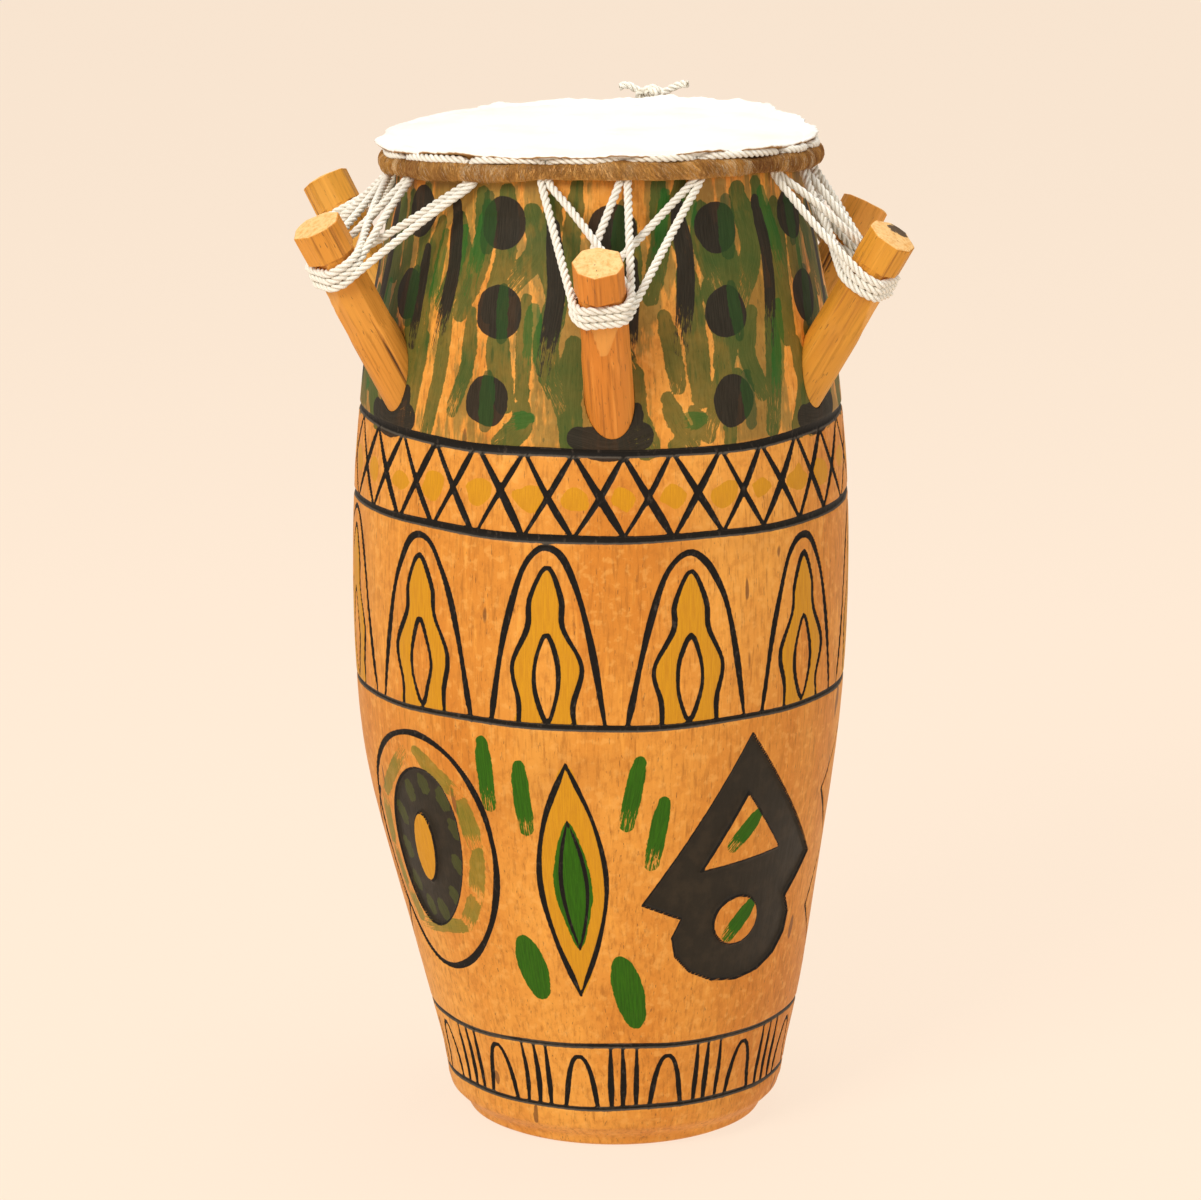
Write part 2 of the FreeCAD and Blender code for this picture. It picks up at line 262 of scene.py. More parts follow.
def shell_material():
    n = Nodes("carved_painted_wood")
    color, grain = wood(n, (0.82, 0.355, 0.055), (0.64, 0.215, 0.020), (1.0, 1.0, 0.11))
    mottle = n.noise(190.0, detail=3.0)
    color = n.mix(n.fade(mottle, 0.52, 0.68, 0.4), color, (0.90, 0.44, 0.10))
    color = n.mix(n.fade(mottle, 0.46, 0.32, 0.35), color, (0.50, 0.165, 0.015))
    scratch = n.noise(95.0, n.scaled(n.place, (1.0, 1.0, 0.22)), 1.0)
    color = n.mix(n.fade(scratch, 0.735, 0.755, 0.75), color, (0.13, 0.045, 0.010))
    smudge = n.noise(9.0, detail=5.0)
    color = n.mix(n.fade(smudge, 0.55, 0.78, 0.4), color, (0.36, 0.12, 0.012))
    ragged = n.math("SUBTRACT", n.noise(330.0, detail=4.0), 0.5)
    coarse = n.math("SUBTRACT", n.noise(110.0, detail=4.0), 0.5)

    def paint(color, layer, tone, tone2, edge, cover=0.94, thin=1.0):
        v = n.attr(layer)
        wobble = n.math("ADD", n.math("MULTIPLY", ragged, edge), n.math("MULTIPLY", coarse, edge * 1.2))
        inside = n.step(n.math("ADD", v, wobble), -0.15, 0.35)
        across = n.math("MULTIPLY", n.attr(layer + "_s"), 1.5)
        where = n.vec(across, n.math("MULTIPLY", n.attr(layer + "_t"), 0.06))
        streak = n.noise(1.0, where, 4.0, 0.7)
        speck = n.noise(700.0, n.scaled(n.place, (1.0, 1.0, 0.4)), 2.0)
        body = n.math("ADD", n.math("MULTIPLY", streak, 0.72), n.math("MULTIPLY", speck, 0.28))
        dry = n.attr(layer + "_dry")
        lo = n.math("MULTIPLY_ADD", dry, 0.62, -0.02)
        full = n.step(body, lo, n.math("ADD", lo, 0.09))
        tint = n.mix(n.step(streak, 0.35, 0.65), tone, tone2)
        patchy = n.math("MULTIPLY_ADD", n.noise(45.0, detail=4.0), 1.3, -0.15, True)
        thick = n.math("MULTIPLY_ADD", patchy, 1.0 - thin, thin)
        f = n.math("MULTIPLY", n.math("MULTIPLY", inside, full), n.math("MULTIPLY", thick, cover))
        return n.mix(f, color, tint), f

    zone = n.attr("wash")
    veil = n.noise(26.0, n.scaled(n.place, (1, 1, 0.38)), 5.0, 0.62)
    hairs = n.noise(260.0, n.scaled(n.place, (1, 1, 0.07)), 3.0, 0.6)
    veil = n.math("ADD", veil, n.math("MULTIPLY", n.math("SUBTRACT", hairs, 0.5), 0.35))
    veil = n.math("MULTIPLY", n.math("MULTIPLY", n.step(veil, 0.44, 0.52), zone), 0.6)
    veil_tone = n.mix(n.step(n.noise(24.0), 0.42, 0.6), (0.038, 0.085, 0.016), (0.105, 0.125, 0.026))
    color = n.mix(veil, color, veil_tone)
    amount = {}
    for layer, *look in PAINTS_UNDER:
        color, amount[layer] = paint(color, layer, *look)
    sunk = n.mix(n.step(coarse, -0.1, 0.2), (0.016, 0.0105, 0.004), (0.028, 0.018, 0.008))
    color = n.mix(n.step(n.attr("pit"), -0.1, 0.5), color, sunk)
    for layer, *look in PAINTS_OVER:
        color, amount[layer] = paint(color, layer, *look)
    line = n.math("ADD", n.attr("line"), n.math("MULTIPLY", ragged, 0.55))
    ink = n.step(line, -0.15, 0.25)
    worn = n.noise(420.0, n.scaled(n.place, (1, 1, 0.5)), 3.0)
    ink_and_highlight = n.mix(n.step(worn, 0.55, 0.8), (0.010, 0.008, 0.006), (0.055, 0.042, 0.032))
    # Painted highlight: the lower wall of each ring groove is drawn grey, as if lit from above
    painted_highlight = n.math("MULTIPLY", n.attr("lip"), n.step(line, 1.3, 0.5))
    ink_and_highlight = n.mix(n.math("MULTIPLY", painted_highlight, 0.8), ink_and_highlight, (0.115, 0.095, 0.072))
    color = n.mix(ink, color, ink_and_highlight)
    paint_amount = n.math("MAXIMUM", n.math("MAXIMUM", amount["glaze"], amount["green"]),
                          n.math("MAXIMUM", amount["dark"], ink))
    rough = n.math("MULTIPLY_ADD", grain, 0.25, n.math("MULTIPLY_ADD", paint_amount, 0.06, 0.42))
    n.put(n.bsdf.inputs["Specular IOR Level"], n.math("MULTIPLY_ADD", paint_amount, -0.14, 0.28))
    chisel = n.noise(60.0, n.scaled(n.place, (1, 1, 0.5)), 2.0)
    height = n.math("ADD", n.math("MULTIPLY", grain, 0.5), n.math("MULTIPLY", chisel, 0.6))
    return n.finish(color, rough, height, 0.35, 0.0006)


def peg_material(name, tone_shift):
    """Whittled wood; the peg_co attribute runs along the peg, so the grain does too."""
    n = Nodes(name)
    n.place = n.attr("peg_co", "Vector")
    light = (0.80, 0.36 + tone_shift, 0.060)
    color, grain = wood(n, light, (0.66, 0.245 + tone_shift, 0.022), (1.0, 1.0, 0.05))
    n.put(n.bsdf.inputs["Specular IOR Level"], 0.3)
    stain = n.noise(26.0, n.scaled(n.place, (1.0, 1.0, 0.35)), 4.0)
    color = n.mix(n.fade(stain, 0.56, 0.78, 0.55), color, (0.42, 0.15, 0.03))
    crack = n.noise(330.0, n.scaled(n.place, (1.0, 1.0, 0.028)), 1.5)
    color = n.mix(n.fade(crack, 0.60, 0.66, 0.5), color, (0.34, 0.115, 0.018))
    color = n.mix(n.fade(crack, 0.70, 0.74, 0.85), color, (0.045, 0.020, 0.008))
    end = n.attr("end_grain")
    rings = n.noise(380.0, n.place, 4.0, 0.7)
    end_tone = n.mix(n.step(rings, 0.4, 0.7), (0.88, 0.55, 0.22), (0.74, 0.36, 0.09))
    color = n.mix(n.step(end, 0.3, 0.7), color, end_tone)
    color = n.mix(n.fade(n.attr("cut"), 0.2, 0.8, 0.5), color, (0.86, 0.42, 0.10))
    burnt = n.math("ADD", n.attr("burnt"), n.math("MULTIPLY", n.math("SUBTRACT", n.noise(300.0), 0.5), 0.9))
    color = n.mix(n.fade(burnt, 0.45, 0.6, 0.92), color, (0.030, 0.017, 0.010))
    height = n.math("ADD", grain, n.fade(crack, 0.62, 0.74, -2.0))
    return n.finish(color, n.math("MULTIPLY_ADD", grain, 0.25, 0.45), height, 0.45, 0.0006)


def cord_material():
    n = Nodes("cotton_cord")
    fibre = n.noise(1500.0, n.place, 3.0, 0.7)
    soil = n.noise(30.0, detail=4.0)
    color = n.mix(n.step(fibre, 0.35, 0.7), (0.96, 0.94, 0.87), (0.88, 0.83, 0.70))
    color = n.mix(n.fade(soil, 0.5, 0.8, 0.3), color, (0.70, 0.60, 0.40))
    # Painted shade in the creases between the twisted strands
    color = n.mix(n.attr("valley"), color, (0.40, 0.30, 0.14))
    n.put(n.bsdf.inputs["Sheen Weight"], 0.25)
    return n.finish(color, 0.85, fibre, 0.5, 0.0004)


def hide_material():
    n = Nodes("scraped_goatskin")
    cloud = n.noise(18.0, detail=5.0, rough=0.6)
    color = n.mix(n.step(cloud, 0.35, 0.75), (0.93, 0.91, 0.86), (0.86, 0.82, 0.72))
    pores = n.noise(900.0, detail=2.0)
    color = n.mix(n.fade(pores, 0.62, 0.75, 0.25), color, (0.70, 0.58, 0.38))
    ragged = n.math("SUBTRACT", n.noise(160.0, detail=4.0), 0.5)
    tan = n.math("ADD", n.attr("tan"), n.math("MULTIPLY", ragged, 0.7))
    color = n.mix(n.step(tan, 0.35, 0.75), color, (0.40, 0.20, 0.045))
    height = n.math("ADD", n.noise(60.0, detail=5.0), n.math("MULTIPLY", pores, 0.3))
    return n.finish(color, 0.62, height, 0.35, 0.0008)


def hair_material(name, attribute=None):
    n = Nodes(name)
    tuft = n.noise(34.0, n.scaled(n.place, (1, 1, 0.35)), 4.0, 0.65)
    strand = n.noise(650.0, n.scaled(n.place, (1, 1, 0.12)), 3.0, 0.6)
    color = n.mix(n.step(tuft, 0.36, 0.6), (0.22, 0.075, 0.010), (0.60, 0.30, 0.060))
    color = n.mix(n.step(tuft, 0.58, 0.76), color, (0.86, 0.68, 0.40))
    color = n.mix(n.fade(strand, 0.45, 0.7, 0.4), color, (0.88, 0.56, 0.20))
    if attribute:
        color = n.mix(0.5, color, n.attr(attribute, "Color"))
    return n.finish(color, 0.55, strand, 0.5, 0.0005)


def metal_material():
    n = Nodes("rusted_iron")
    rust = n.noise(220.0, detail=4.0)
    color = n.mix(n.step(rust, 0.4, 0.65), (0.05, 0.045, 0.04), (0.20, 0.075, 0.03))
    n.bsdf.inputs["Metallic"].default_value = 0.6
    return n.finish(color, n.math("MULTIPLY_ADD", rust, 0.4, 0.4), rust, 0.3)


# ------------------------------------------------------------------ shell profile, read from the frame
class Profile:
    """Outer and bore radius and sideways offset of the CAD shell by height."""

    def __init__(self):
        mesh = frame["nodes"]["shell"].data
        faces = [tuple(p.vertices) for p in mesh.polygons]
        tree = BVHTree.FromPolygons([v.co.copy() for v in mesh.vertices], faces)
        self.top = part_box("shell")[1].z / MM
        clear = [z for z in list(range(1, 12)) + list(range(14, int(self.top) - 6, 6))
                 + [self.top - 4, self.top - 2, self.top - 1, self.top - 0.3]
                 if min(abs(z - g) for g, _ in RING_HEIGHTS) > 6.5]
        self.z, out_r, in_r, off = np.array([0.3] + [z for z in clear if z > 0.5]), [], [], []
        for z in self.z:
            right = tree.ray_cast(Vector((0.3, 0, z * MM)), Vector((-1, 0, 0)))[0]
            left = tree.ray_cast(Vector((-0.3, 0, z * MM)), Vector((1, 0, 0)))[0]
            inner = tree.ray_cast(Vector((0, 0, z * MM)), Vector((1, 0, 0)))[0]
            off.append((right.x + left.x) / 2 / MM)
            out_r.append((right.x - left.x) / 2 / MM)
            in_r.append(inner.x / MM - off[-1])
        self.out_r, self.in_r, self.off = map(np.array, (out_r, in_r, off))

    def outer(self, z):
        return np.interp(z, self.z, self.out_r)

    def bore(self, z):
        return np.interp(z, self.z, self.in_r)

    def offset(self, z):
        return np.interp(z, self.z, self.off)


# ------------------------------------------------------------------ drawing on the shell
class Canvas:
    """Signed distances (mm, positive inside) of the carving and each paint, at every point of the shell."""

    def __init__(self, azimuth, z, profile):
        self.azimuth, self.z, self.profile = azimuth, z, profile
        self.r = profile.outer(z)
        self.line = np.full(len(z), EMPTY)
        self.pit = np.full(len(z), EMPTY)
        # where the ring grooves' lower walls get a painted highlight
        self.lip = np.zeros(len(z))
        self.paints = {}

    def paint(self, name):
        if name not in self.paints:
            n = len(self.z)
            self.paints[name] = {"v": np.full(n, EMPTY)} | {key: np.zeros(n) for key in ("s", "t", "dry")}
        return self.paints[name]

    def flat(self, points, margin):
        """The control points and the canvas points near them, on one flat sheet."""
        p = np.asarray(points, float)
        middle = p[:, 0].mean()
        x = np.radians(p[:, 0] - middle) * self.profile.outer(p[:, 1])
        turn = (self.azimuth - middle + 180) % 360 - 180
        cx = np.radians(turn) * self.r
        near = ((cx > x.min() - margin) & (cx < x.max() + margin)
                & (self.z > p[:, 1].min() - margin) & (self.z < p[:, 1].max() + margin))
        k = np.nonzero(near)[0]
        return np.stack([x, p[:, 1]], 1), np.stack([cx[k], self.z[k]], 1), k

    @staticmethod
    def distance(path, q):
        """Distance to a path, length along it, and side offset, for each point q."""
        best = np.full(len(q), 1e9)
        along, side = np.zeros(len(q)), np.zeros(len(q))
        s = 0.0
        for a, b in zip(path, path[1:]):
            d = b - a
            length = math.hypot(*d)
            if length < 1e-6:
                continue
            u = d / length
            t = np.clip((q - a) @ u, 0, length)
            miss = q - a - t[:, None] * u
            m = np.hypot(miss[:, 0], miss[:, 1])
            hit = m < best
            best[hit] = m[hit]
            along[hit] = (s + t)[hit]
            side[hit] = ((q - a) @ np.array([-u[1], u[0]]))[hit]
            s += length
        return best, along, side, s

    def groove(self, points, half, closed=False, taper=0.55, round_off=True):
        """A carved and blackened line, thinner towards its ends."""
        path, q, k = self.flat(points, half + 6)
        if round_off:
            path = spline(path, 3.0, closed)
        best, along, _, total = self.distance(path, q)
        width = half * (1 + 0.16 * np.sin(along * 0.11 + total))
        if not closed:
            width *= taper + (1 - taper) * smoothstep(0, 14, np.minimum(along, total - along))
        self.line[k] = np.maximum(self.line[k], width - best)

    def inside(self, path, q):
        """Signed distance to a closed path, positive inside."""
        closed = np.concatenate([path, path[:1]])
        best = self.distance(closed, q)[0]
        odd = np.zeros(len(q), bool)
        for (x0, y0), (x1, y1) in zip(closed, closed[1:]):
            if y0 == y1:
                continue
            crossing = x0 + (q[:, 1] - y0) * (x1 - x0) / (y1 - y0)
            odd ^= ((y0 > q[:, 1]) != (y1 > q[:, 1])) & (q[:, 0] < crossing)
        return np.where(odd, best, -best)

    def area(self, name, points, closed_curve=True, hole=None, dry=0.0):
        """A filled patch of paint, or of the sunk black ground where name is pit."""
        path, q, k = self.flat(points, 9)
        if closed_curve:
            path = spline(path, 3.0, True)[:-1]
        v = self.inside(path, q)
        if hole is not None:
            # the hole is drawn on the same sheet as the patch
            p = np.asarray(hole, float)
            middle = np.asarray(points, float)[:, 0].mean()
            x = np.radians(p[:, 0] - middle) * self.profile.outer(p[:, 1])
            cut = np.stack([x, p[:, 1]], 1)
            if closed_curve:
                cut = spline(cut, 3.0, True)[:-1]
            v = np.minimum(v, -self.inside(cut, q))
        if name == "pit":
            self.pit[k] = np.maximum(self.pit[k], v)
            return
        self.claim(name, k, v, q[:, 0], q[:, 1], np.full(len(k), dry))

    def claim(self, name, k, v, s, t, dry):
        """Lets a new patch own the points where it lies deeper than the paint already there."""
        layer = self.paint(name)
        on = v > layer["v"][k]
        for key, value in (("v", v), ("s", s), ("t", t), ("dry", dry)):
            layer[key][k[on]] = value[on]

    def stroke(self, name, width, points, dry=(0.25, 0.75)):
        """One brush stroke that runs out of paint towards its end."""
        path, q, k = self.flat(points, width)
        path = spline(path, 3.0)
        best, along, side, total = self.distance(path, q)
        share = along / max(total, 1e-6)
        half = width / 2 * (0.72 + 0.28 * smoothstep(0, 0.25, share)) * (1 - 0.12 * smoothstep(0.7, 1, share))
        v = half - best
        seed = rng.uniform(0, 400)
        dryness = dry[0] + (dry[1] - dry[0]) * smoothstep(0.3, 1.0, share)
        self.claim(name, k, v, side + seed, along + seed, dryness)


def draw_rings(c):
    for i, (height, half) in enumerate(RING_HEIGHTS):
        a = np.radians(c.azimuth)
        wave = 0.7 * np.sin(2 * a + i) + 0.45 * np.sin(5 * a + 2 * i) + 0.25 * np.sin(11 * a + i)
        width = half * (1 + 0.1 * np.sin(4 * a + i))
        c.line[:] = np.maximum(c.line, width - np.abs(c.z - height - wave))
        # the band along each ring groove's lower edge, drawn grey in the shader as a painted highlight
        below = height + wave - c.z
        c.lip[:] = np.maximum(c.lip, smoothstep(width + 1, width, below) * (c.z < height + wave + 1))


def draw_lattice(c):
    low, high = RING_HEIGHTS[3][0], RING_HEIGHTS[4][0]
    for k in range(31):
        a = LATTICE_START + k * LATTICE_PITCH + rng.uniform(-0.5, 0.5)
        b = LATTICE_START + (k + 1) * LATTICE_PITCH + rng.uniform(-0.5, 0.5)
        for z0, z1 in ((low, high), (high, low)):
            mid = ((a + b) / 2 + rng.uniform(-0.4, 0.4), (z0 + z1) / 2 + rng.uniform(-1, 1))
            c.groove([(a, z0), mid, (b, z1)], rng.uniform(1.45, 2.15), taper=0.75)
        centre = (a + rng.uniform(-1.2, 1.2), (low + high) / 2 - 1 + rng.uniform(-1.5, 1.5))
        size = rng.uniform(7.2, 9.8)
        blob = []
        for t in np.arange(0, 360, 40):
            r = size * rng.uniform(0.72, 1.15)
            blob.append((centre[0] + math.degrees(r * math.cos(math.radians(t)) / BELLY_R),
                         centre[1] + 0.85 * r * math.sin(math.radians(t))))
        c.area("ochre", blob, dry=0.3)


# One arch and its figure, in millimetres: half width and height of the arch, then (height, half width)
ARCH_HALF, ARCH_TALL, ARCH_POWER = 34.0, 98.0, 2.35
FIGURE_HALF = [(0, 16), (14, 15.5), (34, 19.5), (55, 10), (71, 9), (88, 0)]
LENS_LOW, LENS_HIGH, LENS_BULGE = 3.0, 52.0, 7.5


def mirrored(halves, middle=0.0):
    """A closed outline from (height, half width) pairs, up the left side and down the right."""
    left = [(middle - w, z) for z, w in halves]
    right = [(middle + w, z) for z, w in halves[::-1] if w > 0]
    return left + right


def bow(start, end, bulge, count=5):
    """A curve between two points that swells sideways in its middle."""
    return [(start[0] + (end[0] - start[0]) * t + bulge * math.sin(math.pi * t),
             start[1] + (end[1] - start[1]) * t) for t in np.linspace(0, 1, count)]


def loop(middle, height, wide, tall, lean=0.0, first=0, last=360, count=12):
    """Points of an oval, or of its arc between two angles from the top, leaning sideways at its top."""
    turns = np.radians(np.linspace(first, last, count, endpoint=last - first < 360))
    return [(middle + wide * math.sin(t) + lean * math.cos(t), height + tall * math.cos(t)) for t in turns]


def draw_arches(c):
    base = RING_HEIGHTS[2][0]
    arch = [(ARCH_HALF * x, ARCH_TALL * (1 - abs(x) ** ARCH_POWER)) for x in np.linspace(-1, 1, 11)]
    low, high = (0, LENS_LOW), (0, LENS_HIGH)
    lens = bow(low, high, -LENS_BULGE) + bow(high, low, LENS_BULGE)[1:-1]
    for k in range(11):
        middle = ARCH_START + ARCH_PITCH * k
        wide, flip, tall = rng.uniform(0.93, 1.05), rng.choice([-1, 1]), rng.uniform(0.97, 1.02)

        def placed(shape, jitter):
            return [(middle + math.degrees((x * flip * wide + rng.uniform(-jitter, jitter)) / BELLY_R),
                     base + max(y * tall + rng.uniform(-jitter, jitter), 0)) for x, y in shape]

        c.groove(placed(arch, 0.7), 1.85, taper=0.6)
        figure, eye = placed(mirrored(FIGURE_HALF), 0.8), placed(lens, 0.5)
        c.area("ochre", figure, hole=eye, dry=0.16)
        c.groove(figure, 1.5, taper=0.8)
        c.groove(eye, 1.35, closed=True)
    ochre = c.paint("ochre")
    ochre["v"][(c.z < base - 0.5) & (c.z > base - 15)] = EMPTY


def draw_foot_band(c):
    low, high = RING_HEIGHTS[0][0], RING_HEIGHTS[1][0]
    tall = high - low
    for k in range(13):
        middle = FOOT_START + FOOT_PITCH * k + rng.uniform(-0.6, 0.6)
        arch = [(FOOT_ARCH_HALF * x, FOOT_ARCH_RISE * (1 - abs(x) ** 2.4)) for x in np.linspace(-1, 1, 7)]
        c.groove([(middle + x, low + y * tall) for x, y in arch], 1.5, taper=0.75)
        for j in (-1, 0, 1):
            a = middle + FOOT_PITCH / 2 + j * 4.0 + rng.uniform(-0.3, 0.3)
            c.groove([(a, low), (a + rng.uniform(-0.5, 0.5), (low + high) / 2), (a, high)],
                     rng.uniform(1.35, 1.9), taper=0.65)


# The four carved signs: azimuth of each one's middle, then sizes in degrees across and millimetres up
OVAL_AT, OVAL_HEIGHT = -51.0, 174.0
LEAF_TOP, LEAF_FOOT = (-8, 237), (-8.5, 98)
ARROW_AT, ARROW_TIP, ARROW_BASE, EYE_HEIGHT = 37.5, 247.0, 156.0, 131.0
KITE_AT = 89.5
KITE_HALF = [(246, 0), (198, 20), (164, 7.5), (128, 18.5), (84, 0)]


def turned(points, by):
    return [(a + by, z) for a, z in points]


def draw_oval(c, at):
    """An oval ring round a sunk oval with an island, painted green between the two."""
    c.groove(loop(at, OVAL_HEIGHT - 2, 23.5, 70, 2.5), 1.9, closed=True)
    island = loop(at, OVAL_HEIGHT, 4.2, 21, 1)
    c.area("pit", loop(at, OVAL_HEIGHT, 13.4, 48, 3.5), hole=island)
    c.area("ochre", island, dry=0.1)
    path = spline(loop(at, OVAL_HEIGHT, 18.5, 58, 3), 1.0, True)
    start = 0
    while start < len(path) - 18:
        length = int(rng.uniform(18, 34))
        a, b = path[start], path[min(start + length, len(path) - 1)]
        shift = rng.uniform(-0.8, 0.8)
        c.stroke("olive", rng.uniform(8.5, 13), [(a[0] + shift, a[1]), (b[0] + shift, b[1])], dry=(0.2, 0.85))
        start += length + int(rng.uniform(-2, 5))
    for a, z in loop(at, OVAL_HEIGHT, 11, 39, 3, count=11):
        a += rng.uniform(-0.6, 0.6)
        c.stroke("dabs", rng.uniform(8, 11), [(a, z + 3), (a + 1, z - 3)], dry=(0.45, 0.6))


def draw_leaf(c, by):
    """A pointed leaf with a green heart between two veins, and brush marks on both sides."""
    top, foot = turned([LEAF_TOP, LEAF_FOOT], by)
    left, right = bow(top, foot, -7.8), bow(top, foot, 8.9)
    c.groove(left, 1.6)
    c.groove(right, 1.35)
    c.area("ochre", left + right[-2:0:-1], dry=0.12)
    high, low = (top[0], top[1] - 33), (foot[0] + 1, foot[1] + 28)
    c.area("green", bow(high, low, 4.9) + bow(low, high, -4.9)[1:-1], dry=0.2)
    c.groove(bow(high, low, -2.9), 1.15)
    c.groove(bow(high, low, 3.5), 1.05)
    for away, start in ((-20, 246), (-11, 234), (17, 238), (23, 214)):
        a = top[0] + away
        slope = 1 if away < 0 else -3
        c.stroke("green", 10, [(a, start), (a + slope, start - 36)], dry=(0.12, 0.72))
    c.area("green", loop(top[0] - 13.5, 113, 4.4, 20, -1.5), dry=0.3)
    c.area("green", loop(top[0] + 13, 100, 4.4, 23, -2), dry=0.22)


def draw_arrow(c, by):
    """A sunk arrowhead on a sunk ring, with a window in one and a standing eye in the other."""
    at = ARROW_AT + by
    disc = loop(at, EYE_HEIGHT - 2, 20.3, 28, first=-60, last=-300, count=11)
    outline = [(at, ARROW_TIP), (at - 28, ARROW_BASE - 3)] + disc + [(at + 28, ARROW_BASE + 8)]
    window = [(at, 213), (at + 12.5, 175), (at - 12.5, 170)]
    c.area("pit", outline, closed_curve=False, hole=window)
    path, q, k = c.flat(loop(at - 1, EYE_HEIGHT + 6, 7.4, 14.5), 14)
    eye = c.inside(spline(path, 3.0, True)[:-1], q)
    c.pit[k] = np.minimum(c.pit[k], -eye)
    for height in (191, EYE_HEIGHT + 6):
        c.stroke("green", 10, [(at + 3.5, height + 8), (at - 3.5, height - 8)], dry=(0.12, 0.72))


def draw_kite(c, by):
    at = KITE_AT + by
    c.groove(mirrored(KITE_HALF, at), 1.2, closed=True, round_off=False)
    c.area("green", loop(at, 165, 3.5, 60), dry=0.55)


def draw_motifs(c, by):
    """The four big carved signs, each drawn once in front and once behind."""
    draw_oval(c, OVAL_AT + by)
    draw_leaf(c, by)
    draw_arrow(c, by)
    draw_kite(c, by)


# Camouflage round the top: columns of spots, and the band that the brush strokes fill
SPOT_PITCH, SPOT_START, SPOT_ROWS, SPOT_LOW_ROW = 30.0, -57.0, (525.0, 481.0), 433.0
CAMO_LOW, CAMO_TOP = 411.0, 549.0


def draw_strokes(c):
    """Dry green brush strokes, mostly downwards, in columns all the way round."""
    side = -180.0
    while side < 180:
        side += rng.uniform(5.6, 8.4)
        top = rng.uniform(518, CAMO_TOP)
        while top > CAMO_LOW + 18:
            low = max(top - rng.uniform(36, 80), CAMO_LOW)
            lean, bend = rng.uniform(-6, 6), rng.uniform(-3, 3)
            middle = (side + bend, (top + low) / 2)
            dry = (rng.uniform(0.1, 0.4), rng.uniform(0.45, 0.75))
            c.stroke("glaze", rng.uniform(9, 17), [(side, top), middle, (side + lean, low)], dry=dry)
            if rng.uniform() < 0.3:
                c.stroke("bright", rng.uniform(7, 11), [(side + 2, top - 5), (side + lean + 2, low + 12)],
                         dry=(0.3, 0.9))
            top = low - rng.uniform(-8, 12)


def draw_camouflage(c, pegs):
    draw_strokes(c)
    spots = []
    for column in range(12):
        a = SPOT_START + SPOT_PITCH * column
        rows = SPOT_ROWS + (SPOT_LOW_ROW,) * (column % 2)
        spots += [(a + rng.uniform(-1, 1), z + rng.uniform(-2, 2)) for z in rows]
        top, streak = rng.uniform(518, 538), a + SPOT_PITCH / 2 + rng.uniform(-3, 3)
        path = [(streak, top), (streak + 1.5, top - 35), (streak - 1, top - 75)]
        c.stroke("dark", rng.uniform(8, 11), path, dry=(0.12, 0.85))
        if rng.uniform() < 0.5:
            width = rng.uniform(7, 10)
            c.stroke("dark", width, [(a + 5, 508), (a + 4, rng.uniform(455, 475))], dry=(0.15, 0.8))
    for a, z in spots:
        size = rng.uniform(12.6, 13.6)
        rim = []
        for t in np.arange(0, 360, 36):
            r = size * rng.uniform(0.95, 1.06)
            rim.append((a + math.degrees(r * math.cos(math.radians(t)) / float(c.profile.outer(z))),
                        z + 1.04 * r * math.sin(math.radians(t))))
        c.area("dark", rim, dry=0.18)
        if rng.uniform() < 0.6:
            x = a + rng.uniform(-5, 5)
            width = rng.uniform(7, 12)
            c.stroke("over", width, [(x, z + 13), (x + rng.uniform(-2, 2), z - 13)], dry=(0.3, 0.5))
    for peg in pegs.values():
        a = peg.azimuth
        c.stroke("dark", 18, [(a - 7, 416), (a, 412.5), (a + 7, 417)], dry=(0.25, 0.6))
        c.stroke("dark", 8, [(a + 6.5, 432), (a + 6, 420)], dry=(0.3, 0.6))


# ------------------------------------------------------------------ pegs
class Peg:
    """A peg's own axes, from its joint and CAD solid: along points out, outer away from the drum."""

    def __init__(self, name):
        node = frame["nodes"]["peg_" + name]
        joint = next(j for j in frame["joints"] if j["child"] == "peg_" + name)
        self.name, self.holes = name, CORD_HOLES[name]
        self.along = -np.array(joint["axis"], float)
        self.along /= np.linalg.norm(self.along)
        co = np.array([v.co for v in node.data.vertices], float) / MM
        w = co @ self.along
        tip = co[w < w.min() + 0.05].mean(0)
        head = co[w > w.max() - 0.05].mean(0)
        self.inside = PEG_INSIDE
        self.length = float((head - tip) @ self.along) - self.inside
        self.base = tip + self.along * self.inside
        self.azimuth = math.degrees(math.atan2(self.base[0], -self.base[1]))
        radial = around(1, self.azimuth, 0)
        self.side = np.cross(self.along, radial)
        self.side /= np.linalg.norm(self.side)
        self.outer = np.cross(self.side, self.along)
        self.shoulder = self.length - SHOULDER

    def point(self, outer, side, along):
        return self.base + self.outer * outer + self.side * side + self.along * along

    def local(self, p):
        d = p - self.base
        return float(d @ self.outer), float(d @ self.side), float(d @ self.along)


def peg_radius(angle, w, peg, facets):
    """Radius of the whittled peg at one angle (radians from its outer side) and place along it."""
    in_head = w > peg.shoulder
    cap = HEAD_R + 0.5 if in_head else SHAFT_R
    flat = min(d / max(math.cos(angle - a), 0.05) for a, d in (facets[0] if in_head else facets[1]))
    carved = 1.0 if in_head else float(smoothstep(24, 36, w))
    r = min(cap, cap * (1 - carved) + flat * carved)
    if not in_head and w > peg.shoulder - NOTCH_LENGTH and math.cos(angle) > 0.05:
        floor = SHAFT_R - NOTCH_DEPTH * (1 - (peg.shoulder - w) / NOTCH_LENGTH)
        r = min(r, floor / math.cos(angle))
    return r


# A peg head's end, from its edge inwards: share of its radius, drop, how much end grain shows
HEAD_END = [(1.0, 1.0, 0.0), (0.965, 0.25, 0.6), (0.93, 0.0, 1.0), (0.75, -0.2, 1.0), (0.5, -0.4, 1.0),
            (0.25, -0.3, 1.0)]


